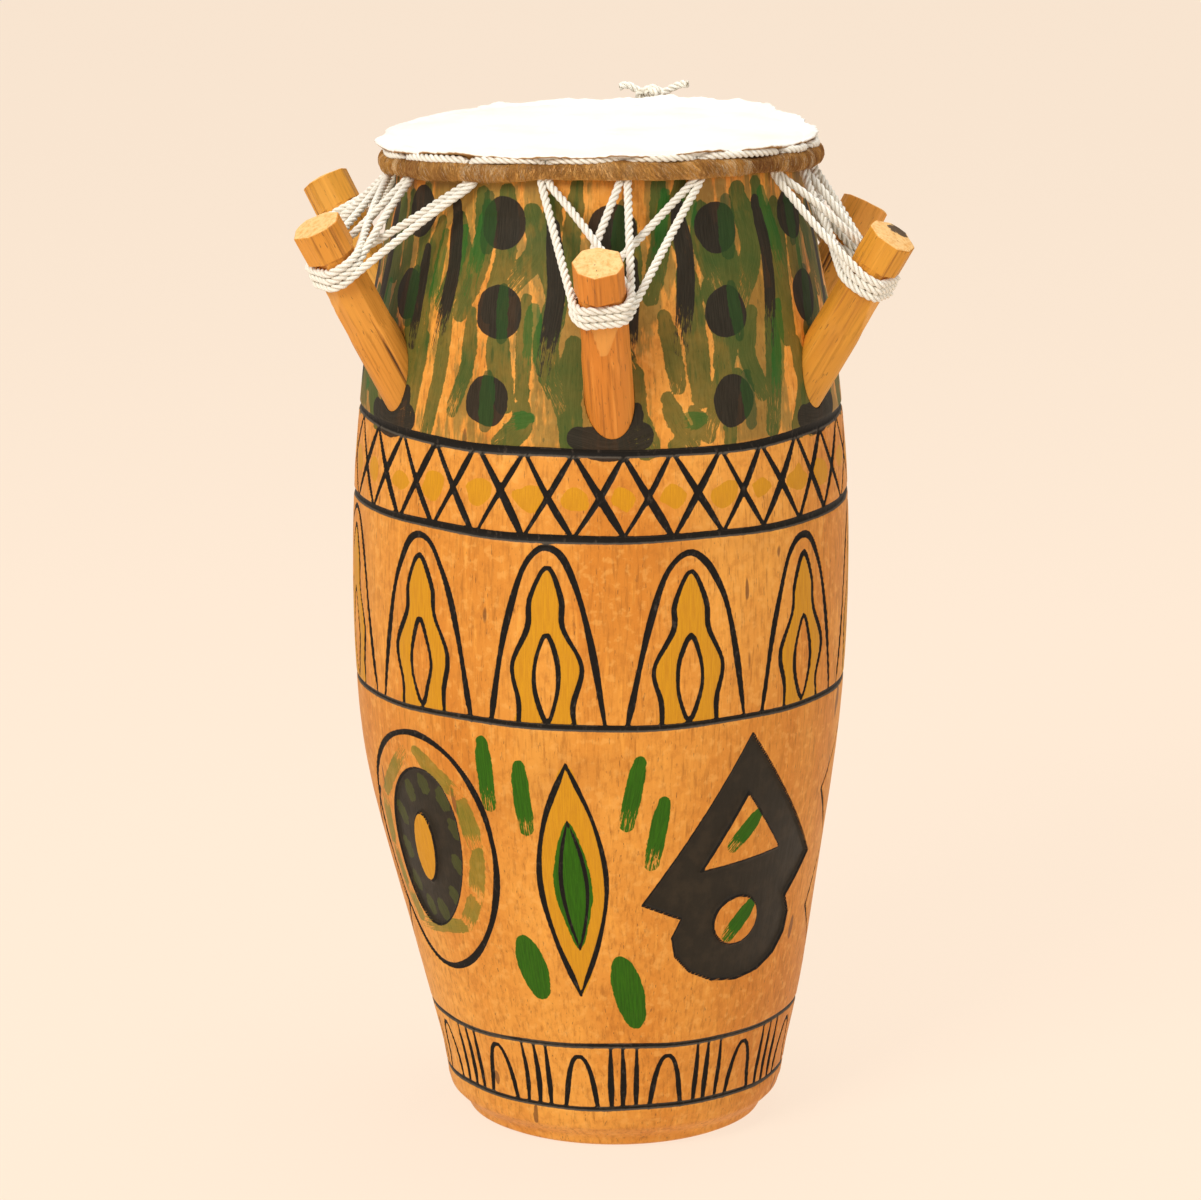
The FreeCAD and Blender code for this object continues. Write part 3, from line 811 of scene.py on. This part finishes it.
def build_peg(peg, material, seed):
    pick = random.Random(seed)
    sides = 56
    turn = pick.uniform(0, 1)

    def whittle(count, spread, radius, least, most):
        return [(turn + k * 2 * math.pi / count + pick.uniform(-spread, spread),
                 radius * pick.uniform(least, most)) for k in range(count)]

    head = whittle(8, 0.12, HEAD_R, 0.87, 0.97)
    shaft = whittle(7, 0.1, SHAFT_R, 0.865, 0.96)
    steps = list(np.arange(-peg.inside, peg.shoulder - 0.6, 1.5))
    steps += [peg.shoulder + d for d in (-0.4, -0.05, 0.05, 0.5)]
    steps += list(np.linspace(peg.shoulder + 2, peg.length - 1.6, 8))
    angles = np.linspace(0, 2 * math.pi, sides, endpoint=False)
    verts, grain, end_grain, burnt, cut = [], [], [], [], []
    tilt = (pick.uniform(-0.05, 0.05), pick.uniform(-0.05, 0.05))

    def add(r, a, w, end):
        o, s = r * math.cos(a), r * math.sin(a)
        verts.append(peg.point(o, s, w))
        grain.append(((o + seed * 31) * MM, s * MM, w * MM))
        end_grain.append(end)
        spot = 0.0
        if peg.name == "front_right":
            near_edge = w > peg.length - 5 and abs(a - 1.6) < 0.9
            spot = 1.25 - math.hypot(o + 2, s - 9) / 8 if end else 0.8 * near_edge
        if peg.name == "front":
            crack = abs(s + 0.06 * o + 0.8 * math.sin(o * 0.5) + 1.5)
            spot = 1.1 - crack / 0.55 if end and o > -3 else 0.0
        burnt.append(spot)
        notch = SHAFT_R - NOTCH_DEPTH * (1 - (peg.shoulder - w) / NOTCH_LENGTH)
        in_notch = peg.shoulder - NOTCH_LENGTH * 0.97 < w < peg.shoulder
        cut.append(float(smoothstep(notch - 0.9, notch - 0.1, o)) if in_notch else 0.0)

    for w in steps:
        taper = min(1.0, (11.0 + 2.2 * (w + peg.inside) / 15.0) / SHAFT_R) if w < -47 else 1.0
        for a in angles:
            wave = 1 + 0.008 * math.sin(3 * a + w * 0.13 + seed) if w > 30 else 1.0
            r = peg_radius(a, w, peg, (head, shaft)) * taper * min(1.0, wave)
            add(r, a, w, 0.0)
    rings = len(steps)
    for share, drop, end in HEAD_END:
        for a in angles:
            r = peg_radius(a, peg.length, peg, (head, shaft)) * share
            lift = -0.2 * drop * 5 + tilt[0] * r * math.cos(a) + tilt[1] * r * math.sin(a)
            ridge = 0.9 * max(0.0, 1 - abs(r * math.cos(a - turn)) / 9) if end == 1.0 else 0.0
            add(r, a, peg.length - 0.8 + lift * 0.6 + ridge * 0.6, end)
        rings += 1
    faces = [tuple(f) for f in grid_faces(rings, sides)]
    add(0, 0, peg.length - 0.6, 1.0)
    top = len(verts) - 1
    add(0, 0, -peg.inside, 1.0)
    low = len(verts) - 1
    last = (rings - 1) * sides
    for j in range(sides):
        k = (j + 1) % sides
        faces.append((last + j, last + k, top))
        faces.append((k, j, low))
    ob = make_mesh("whittled_peg_" + peg.name, verts, faces, [material])
    set_attribute(ob, "peg_co", grain, "FLOAT_VECTOR")
    set_attribute(ob, "end_grain", end_grain)
    set_attribute(ob, "burnt", burnt)
    set_attribute(ob, "cut", cut)
    edge = ob.modifiers.new("crisp", "EDGE_SPLIT")
    edge.split_angle = math.radians(26)
    place(ob, "peg_" + peg.name, "peg_" + peg.name)


# ------------------------------------------------------------------ cord
def rope_mesh(name, paths, material, strand=1.27, spread=1.08, pitch=12.5, step=0.9):
    """Three twisted strands along each path."""
    sides = 8
    step = step
    verts, faces, valley = [], [], []
    for number, path in enumerate(paths):
        p = spline(path, step)
        d = np.gradient(p, axis=0)
        d /= np.linalg.norm(d, axis=1)[:, None]
        normal = np.zeros_like(p)
        first = np.cross(d[0], [0.3, 0.2, 0.9])
        normal[0] = first / np.linalg.norm(first)
        for i in range(1, len(p)):
            m = normal[i - 1] - d[i] * (normal[i - 1] @ d[i])
            normal[i] = m / np.linalg.norm(m)
        cross = np.cross(d, normal)
        length = np.concatenate([[0], np.cumsum(np.linalg.norm(np.diff(p, axis=0), axis=1))])
        for k in range(3):
            lay = 2 * math.pi * (length / pitch + k / 3) + number
            out = normal * np.cos(lay)[:, None] + cross * np.sin(lay)[:, None]
            centre = p + out * spread
            start = len(verts)
            for i in range(len(p)):
                for a in np.linspace(0, 2 * math.pi, sides, endpoint=False) + lay[i]:
                    ray = normal[i] * math.cos(a) + cross[i] * math.sin(a)
                    verts.append(centre[i] + ray * strand)
                    # painted shade on the strand sides that turn in towards the other strands
                    valley.append(float(smoothstep(0.35, -0.75, ray @ out[i])) * 0.8)
            faces += [tuple(start + f) for f in grid_faces(len(p), sides)]
            faces.append(tuple(start + np.arange(sides)[::-1]))
            faces.append(tuple(start + (len(p) - 1) * sides + np.arange(sides)))
    ob = make_mesh(name, verts, faces, [material])
    set_attribute(ob, "valley", valley)
    return ob


def loop_path(peg, hole, level, number):
    """Down from the hole, round the notch and back up, the two strands crossing a little."""
    around_peg = SHAFT_R + CORD_R + 0.25
    step = math.degrees(PAIR / HOLE_R)
    mouths, angles = {}, {}
    for hand in (-1, 1):
        mouth = around(HOLE_R + 0.4, hole + hand * step, MOUTH_Z + droop(hole))
        o, s, _ = peg.local(mouth)
        bearing = math.atan2(s, o) % (2 * math.pi)
        angles[hand] = bearing - hand * math.acos(around_peg / math.hypot(o, s))
        flank = peg.point(around_peg * math.cos(angles[hand]), around_peg * math.sin(angles[hand]), level)
        inner = hole + hand * step
        bowed = [around(HOLE_R, inner, z + droop(hole)) for z in (557.0, 550.5)] + [mouth]
        for t in (0.22, 0.45, 0.7, 0.88):
            sag = hand * 1.25 * math.sin(math.pi * t)
            drift = 0.5 * math.sin(math.pi * t) * math.sin(number * 2.1 + hand)
            bowed.append(mouth + (flank - mouth) * t + peg.along * (sag + drift))
        mouths[hand] = bowed
    first, last = angles[-1] - 2 * math.pi, angles[1]
    floor = SHAFT_R - NOTCH_DEPTH * (1 - (peg.shoulder - level) / NOTCH_LENGTH) + CORD_R + 0.25
    wrap = []
    for a in np.linspace(first, last, 15):
        r = min(around_peg, floor / math.cos(a)) if math.cos(a) > 0.1 else around_peg
        dip = -0.5 * math.cos(a)
        wrap.append(peg.point(r * math.cos(a), r * math.sin(a), level + dip))
    return mouths[-1] + wrap + mouths[1][::-1]


def build_lacing(peg, material):
    first = peg.shoulder - CORD_R - 2.0
    paths = [loop_path(peg, hole, first - LOOP_PITCH * i, i) for i, hole in enumerate(peg.holes)]
    ob = rope_mesh("cord_loops_" + peg.name, paths, material)
    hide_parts("lacing_" + peg.name)
    o, _, w = peg.local(around(HOLE_R, peg.azimuth, MOUTH_Z))
    start = peg.point(o, 0, w)
    end = peg.point(-SHAFT_R, 0, peg.shoulder - 8)
    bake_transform(ob)
    return ob


def build_rim_cord(material):
    holes = sorted(h % 360 for hs in CORD_HOLES.values() for h in hs)
    step = math.degrees(PAIR / HOLE_R)
    paths = []
    for i, (a, b) in enumerate(zip(holes, holes[1:] + [holes[0] + 360])):
        if a < KNOT_AZIMUTH < b:
            continue
        low_a, low_b = HOOP_Z + droop(a), HOOP_Z + droop(b)
        path = [around(HOLE_R, a + step, low_a + 3),
                around(HOLE_R + 0.4, a + step + 0.4, low_a + RUN_RISE - 1.2)]
        n = max(2, int((b - a - 7) / 4))
        for j in range(n + 1):
            t = j / n
            az = a + 3.6 + (b - a - 7.2) * t
            belly = math.sin(math.pi * t)
            rise = HOOP_Z + droop(az) + RUN_RISE + 0.5 * belly * math.sin(i * 1.7)
            path.append(around(RUN_R - 0.4 + 0.9 * belly, az, rise))
        path += [around(HOLE_R + 0.4, b - step - 0.4, low_b + RUN_RISE - 1.2),
                 around(HOLE_R, b - step, low_b + 3)]
        paths.append(path)
    ob = rope_mesh("cord_over_hoop", paths, material)
    place(ob, "drum", stands_for="rim_cord")


def build_knot(material):
    """The cord's two ends, tied over each other and left loose behind the rim."""
    k, low = TAIL_AZIMUTH, HOOP_Z + float(droop(KNOT_AZIMUTH))
    run = low + RUN_RISE
    left = [(HOLE_R, 164, low + 3), (RUN_R, 164.6, run), (123.5, k - 1.5, run + 0.4), (126.5, k + 2.0, 559.0),
            (127.5, k + 3.6, 563.0), (125.8, k + 1.2, 566.2), (124.6, k - 1.2, 564.2), (127.6, k + 0.4, 561.4),
            (129.2, k + 3.4, 564.4), (128.4, k + 6.4, 568.0), (127.2, k + 8.6, 567.2)]
    right = [(HOLE_R, 181, low + 3), (RUN_R, 177.0, run), (121.8, k + 6.0, run + 0.6), (126.2, k + 1.2, 559.4),
             (128.2, k - 2.4, 563.2), (126.6, k - 0.4, 567.0), (124.6, k + 1.6, 565.2), (127.6, k - 0.8, 562.6),
             (129.0, k - 4.2, 566.2), (127.8, k - 7.4, 569.6), (126.8, k - 9.6, 570.2)]
    ob = rope_mesh("cord_knot_tied", [[around(*p) for p in end] for end in (left, right)], material)
    place(ob, "drum", stands_for="cord_knot")


# ------------------------------------------------------------------ hide
def build_hide(material):
    """White scraped head with its wavy trimmed brim, brown underneath where it turns in to the roll."""
    cols = 540
    az = np.linspace(0, 360, cols, endpoint=False)
    a = np.radians(az)
    wave = (1.0 * np.sin(3 * a + 1) + 0.8 * np.sin(5 * a + 2.2) + 0.6 * np.sin(9 * a + 0.7)
            + 0.5 * np.sin(16 * a) + 0.35 * np.sin(29 * a + 1))
    nicks = rng.uniform(-1, 1, 90)
    nick = np.interp(az, np.linspace(0, 360, 91), np.append(nicks, nicks[:1]))
    fray = np.convolve(np.pad(rng.normal(0, 1, cols), 1, "wrap"), [0.25, 0.5, 0.25], "valid")
    edge_r = 120.6 + 0.9 * wave + 1.2 * nick - 1.2 * np.sin(a) + 0.5 * fray
    edge_z = brim_height(az) + 0.45 * wave + 0.8 * nick + 0.35 * fray
    rows = []
    for r in np.concatenate([[3], np.arange(12, 104, 8), [106]]):
        ripple = 0.12 * np.sin(4 * a + r * 0.05)
        rows.append((np.full(cols, r), SKIN_Z + ripple, 0.0))
    for r, dz in ((108.5, -0.2), (110.6, -0.8), (112.2, -1.0)):
        rows.append((r + 0.15 * wave, SKIN_Z + dz + 0.25 * nick, 0.0))
    for t in (0.15, 0.4, 0.7, 0.9):
        arch = 0.9 * math.sin(math.pi * t) ** 0.8
        rows.append((114.0 + (edge_r - 114.0) * t, SKIN_Z - 0.4 + (edge_z + 1.0 - SKIN_Z) * t + arch, 0.0))
    rows.append((edge_r, edge_z + 0.3, 0.2))
    rows.append((edge_r + 0.15, edge_z - 0.4, 0.6))
    rows.append((edge_r - 0.5, edge_z - 1.0, 1.0))
    neck_z = HOOP_Z + droop(az)
    for t in (0.3, 0.6, 0.9):
        under_z = edge_z - 1.0 + (neck_z + 7.2 - edge_z) * t * 0.5
        rows.append((edge_r - 0.5 - (edge_r - 115.5) * t, under_z, 1.0))
    for r, dz in ((114.6, 6.0), (114.2, 4.0), (114.4, 1.5)):
        rows.append((np.full(cols, r), neck_z + dz, 1.0))
    verts, tan = [], []
    for r, z, t in rows:
        verts.append(ring(r, a, z))
        tan += [t] * cols
    verts = np.concatenate(verts)
    faces = [tuple(f) for f in grid_faces(len(rows), cols)]
    verts = np.concatenate([verts, [[0, 0, SKIN_Z]]])
    tan.append(0.0)
    top = len(verts) - 1
    for j in range(cols):
        k = (j + 1) % cols
        faces.append((k, j, top))
    ob = make_mesh("goatskin_head", verts, faces, [material])
    set_attribute(ob, "tan", tan)
    place(ob, "drum", "head_skin")


# Section of the hair roll about the hoop's level, clockwise from its inner top
ROLL = [(113.8, 4.0), (116.5, 5.2), (119.2, 4.8), (121.2, 2.8), (121.9, 0.0), (121.4, -2.8), (119.6, -4.9),
        (116.8, -5.6), (113.9, -4.8), (112.6, -2.4), (112.5, 1.5)]


def roll_shape(azimuths):
    a = np.radians(azimuths)
    fat = 0.45 * np.sin(6 * a) + 0.3 * np.sin(13 * a + 1) + 0.2 * np.sin(31 * a) - 0.5 * np.cos(a)
    sag = 0.35 * np.sin(7 * a + 2) + 0.25 * np.sin(15 * a)
    return fat, HOOP_Z + droop(azimuths) + sag


def build_roll(material, hair):
    cols = 480
    az = np.linspace(0, 360, cols, endpoint=False)
    fat, level = roll_shape(az)
    section = spline(ROLL, 1.3, True)[:-1]
    centre = section.mean(0)
    a = np.radians(az)
    verts = []
    for r, z in section:
        out = np.array([r, z]) - centre
        out /= np.linalg.norm(out)
        verts.append(ring(r + out[0] * fat, a, z + out[1] * fat + level))
    verts = np.concatenate(verts)
    rows = len(section)
    i, j = np.meshgrid(np.arange(rows), np.arange(cols), indexing="ij")
    faces = np.stack([i * cols + j, ((i + 1) % rows) * cols + j, ((i + 1) % rows) * cols + (j + 1) % cols,
                      i * cols + (j + 1) % cols], -1).reshape(-1, 4)
    ob = make_mesh("hide_roll", verts, faces, [material])
    place(ob, "drum")
    build_hair(hair)


def build_hoop(material):
    """The iron ring inside the roll, warped as the roll is."""
    cols, sides = 240, 10
    az = np.linspace(0, 360, cols, endpoint=False)
    a = np.radians(az)
    verts = []
    for t in np.linspace(0, 2 * math.pi, sides, endpoint=False):
        r = HOOP_R + HOOP_WIRE * math.cos(t)
        verts.append(ring(r, a, HOOP_Z + droop(az) + HOOP_WIRE * math.sin(t)))
    faces = grid_faces(sides + 1, cols) % (sides * cols)
    ob = make_mesh("flesh_ring", np.concatenate(verts), faces, [material])
    place(ob, "drum", "flesh_hoop")


def build_hair(material):
    """Short hair combed down and round the roll."""
    count = 9000
    section = spline(ROLL[1:8], 0.8)
    verts, faces, tint = [], [], []
    blocks = rng.uniform(0, 1, 120)
    for _ in range(count):
        az = rng.uniform(0, 360)
        fat, level = roll_shape(np.array([az]))
        start = rng.integers(0, len(section) - 9)
        length = int(rng.uniform(5, 9))
        comb = 0.35 + 0.55 * math.sin(math.radians(az) * 5) + rng.normal(0, 0.35)
        lift0, lift1 = 0.1, rng.uniform(0.25, 0.75)
        pts = []
        for i in range(0, length + 1, 2):
            r, z = section[min(start + i, len(section) - 1)]
            t = i / length
            rise = lift0 + (lift1 - lift0) * t
            out = np.array([r - 117.0, z])
            out /= np.linalg.norm(out)
            pts.append((r + out[0] * (rise + fat[0]), az + math.degrees(comb * i * 0.8 / 125),
                        z + out[1] * (rise + fat[0]) + level[0]))
        block = blocks[int(az / 3) % 120]
        tone = int(min(2.99, max(0, rng.normal(block * 2.2, 0.6))))
        shade = np.append(np.array(HAIR_TONES[tone]) * rng.uniform(0.8, 1.1), 1.0)
        s = len(verts)
        for i, (r, b, z) in enumerate(pts):
            half = math.degrees(0.17 * (1 - 0.75 * i / (len(pts) - 1)) / 122)
            verts += [around(r, b - half, z), around(r, b + half, z), around(r + 0.16, b, z)]
            tint += [shade] * 3
        faces.append((s, s + 1, s + 2))
        for i in range(s, len(verts) - 3, 3):
            faces += [(i, i + 3, i + 4, i + 1), (i + 1, i + 4, i + 5, i + 2), (i + 2, i + 5, i + 3, i)]
        faces.append((len(verts) - 1, len(verts) - 2, len(verts) - 3))
    ob = make_mesh("roll_hair", verts, faces, [material])
    set_attribute(ob, "tint", tint, "FLOAT_COLOR")
    place(ob, "drum")


# ------------------------------------------------------------------ shell
def build_shell(profile, pegs, material):
    cols = COLUMNS
    outer_z = np.concatenate([[0, 0.6, 1.5, 2.6, 4, 5.5, 7.2], np.arange(9, profile.top - 3.2, ROW_STEP),
                              [profile.top - 2.4, profile.top - 1.2, profile.top - 0.4, profile.top]])
    bore_z = np.concatenate([[profile.top, profile.top - 3], np.arange(profile.top - 16, 8, -16), [6, 0]])
    az = np.linspace(-180, 180, cols, endpoint=False)
    a = np.radians(az)

    def wobble(z):
        return 0.35 * np.sin(2 * a + z * 0.011) + 0.25 * np.sin(5 * a - z * 0.02 + 1)

    rows = []
    for z in outer_z:
        r = profile.outer(z) + (wobble(z) if 20 < z < 530 else 0)
        rows.append(ring(r, a, z, profile.offset(z)))
    for z in bore_z:
        r = profile.bore(z)
        rows.append(ring(r, a, z, profile.offset(z)))
    faces = grid_faces(len(rows), cols)
    base = (len(rows) - 1) * cols
    j = np.arange(cols)
    foot = np.stack([base + j, base + (j + 1) % cols, (j + 1) % cols, j], 1)
    ob = make_mesh("carved_shell", np.concatenate(rows), np.concatenate([faces, foot]), [material])
    cut_peg_holes(ob, pegs)
    co = np.zeros(len(ob.data.vertices) * 3)
    ob.data.vertices.foreach_get("co", co)
    co = co.reshape(-1, 3) / MM
    x, y, z = co[:, 0] - profile.offset(co[:, 2]), co[:, 1], co[:, 2]
    r = np.hypot(x, y)
    skin = np.abs(r - profile.outer(z)) < OUTSIDE_WITHIN
    azimuth = np.degrees(np.arctan2(x, -y))
    c = Canvas(azimuth, z, profile)
    draw_rings(c)
    draw_lattice(c)
    draw_arches(c)
    draw_foot_band(c)
    draw_motifs(c, 0)
    draw_motifs(c, 180)
    draw_camouflage(c, pegs)
    line, pit = np.where(skin, c.line, EMPTY), np.where(skin, c.pit, EMPTY)
    depth = 1.5 * (1 - np.exp(-np.maximum(line, 0) / 1.1)) + 1.7 * smoothstep(0.0, 1.3, pit)
    keep = 1 - depth / np.maximum(r, 1)
    co[:, 0] = profile.offset(z) + x * keep
    co[:, 1] = y * keep
    ob.data.vertices.foreach_set("co", (co * MM).ravel())
    ob.data.update()
    set_attribute(ob, "line", np.maximum(line, 0.75 - np.abs(pit + 0.1)))
    set_attribute(ob, "lip", c.lip)
    set_attribute(ob, "wash", np.where(skin, smoothstep(407, 411, z), 0))
    set_attribute(ob, "pit", pit)
    for name, *_ in PAINTS_UNDER + PAINTS_OVER:
        layer = c.paint(name)
        set_attribute(ob, name, np.where(skin, layer["v"], EMPTY))
        for key in ("s", "t", "dry"):
            set_attribute(ob, name + "_" + key, layer[key])
    place(ob, "drum", "shell")


def cut_peg_holes(ob, pegs):
    """Cuts the six slanted holes with a slightly loose cylinder each."""
    verts, faces = [], []
    sides = 48
    for peg in pegs.values():
        start = len(verts)
        for w in (-85.0, 45.0):
            for t in np.linspace(0, 2 * math.pi, sides, endpoint=False):
                verts.append(peg.point((SHAFT_R + 0.25) * math.cos(t), (SHAFT_R + 0.25) * math.sin(t), w))
        for j in range(sides):
            k = (j + 1) % sides
            faces.append((start + j, start + k, start + sides + k, start + sides + j))
        faces.append(tuple(start + j for j in range(sides))[::-1])
        faces.append(tuple(start + sides + j for j in range(sides)))
    cutter = make_mesh("cutter", verts, faces, [])
    m = ob.modifiers.new("holes", "BOOLEAN")
    m.operation, m.object, m.solver = "DIFFERENCE", cutter, "MANIFOLD"
    bpy.context.view_layer.update()
    cut = bpy.data.meshes.new_from_object(ob.evaluated_get(bpy.context.evaluated_depsgraph_get()))
    ob.modifiers.clear()
    ob.data = cut
    ob.data.polygons.foreach_set("use_smooth", np.full(len(cut.polygons), True))
    bpy.data.objects.remove(cutter)


# ------------------------------------------------------------------ stage
def build_stage():
    n = Nodes("pale_floor")
    n.finish(n.mix(n.noise(2.0), (0.13, 0.105, 0.084), (0.14, 0.115, 0.09)), 0.9)
    n.put(n.bsdf.inputs["Specular IOR Level"], 0.0)
    n.put(n.bsdf.inputs["Emission Color"], (1.0, 0.83, 0.672))
    n.put(n.bsdf.inputs["Emission Strength"], 0.88)
    corners = [(x * FLOOR_HALF, y * FLOOR_HALF, FLOOR_Z) for x, y in ((-1, -1), (1, -1), (1, 1), (-1, 1))]
    floor = make_mesh("floor", corners, [(0, 1, 2, 3)], [n.material])
    world = bpy.data.worlds.new("studio")
    bpy.context.scene.world = world
    world.use_nodes = True
    world.node_tree.nodes["Background"].inputs[0].default_value = (1.0, 0.97, 0.93, 1)
    world.node_tree.nodes["Background"].inputs[1].default_value = 0.42

    def lamp(name, position, size, power, color=(1, 1, 1)):
        light = bpy.data.lights.new(name, "AREA")
        light.size, light.energy, light.color = size, power, color
        ob = bpy.data.objects.new(name, light)
        bpy.context.scene.collection.objects.link(ob)
        ob.location = position
        ob.rotation_euler = (Vector((0, 0, 0.3)) - Vector(position)).to_track_quat("-Z", "Y").to_euler()

    lamp("key", (-1.5, -2.2, 2.3), 1.3, 70, (1.0, 0.97, 0.92))
    lamp("fill", (2.4, -1.8, 1.2), 2.0, 16, (1.0, 0.98, 0.96))
    lamp("top", (0.2, 0.4, 2.4), 1.2, 22)


def build_camera():
    """Aimed at the middle of the drum's height from just above the head."""
    distance, rise, aim = 2.814, math.radians(13.89), Vector((0, 0, 0.2949))
    camera = bpy.data.cameras.new("camera")
    camera.lens, camera.sensor_width = 149.9, 36.0
    ob = bpy.data.objects.new("camera", camera)
    bpy.context.scene.collection.objects.link(ob)
    ob.location = aim + Vector((0, -distance * math.cos(rise), distance * math.sin(rise)))
    ob.rotation_euler = (math.radians(90) - rise, 0, 0)
    bpy.context.scene.camera = ob
    bpy.context.scene.view_settings.view_transform = "Standard"


# ------------------------------------------------------------------ build
pegs = {name: Peg(name) for name in CORD_HOLES}
profile = Profile()
build_shell(profile, pegs, shell_material())
cord = cord_material()
for seed, (name, peg) in enumerate(pegs.items()):
    build_peg(peg, peg_material("whittled_wood_" + name, 0.03 * ((seed * 5) % 3 - 1)), seed + 3)
    build_lacing(peg, cord)
build_rim_cord(cord)
build_knot(cord)
build_hide(hide_material())
build_roll(hair_material("hair_bed"), hair_material("hair", "tint"))
build_hoop(metal_material())
build_stage()
build_camera()
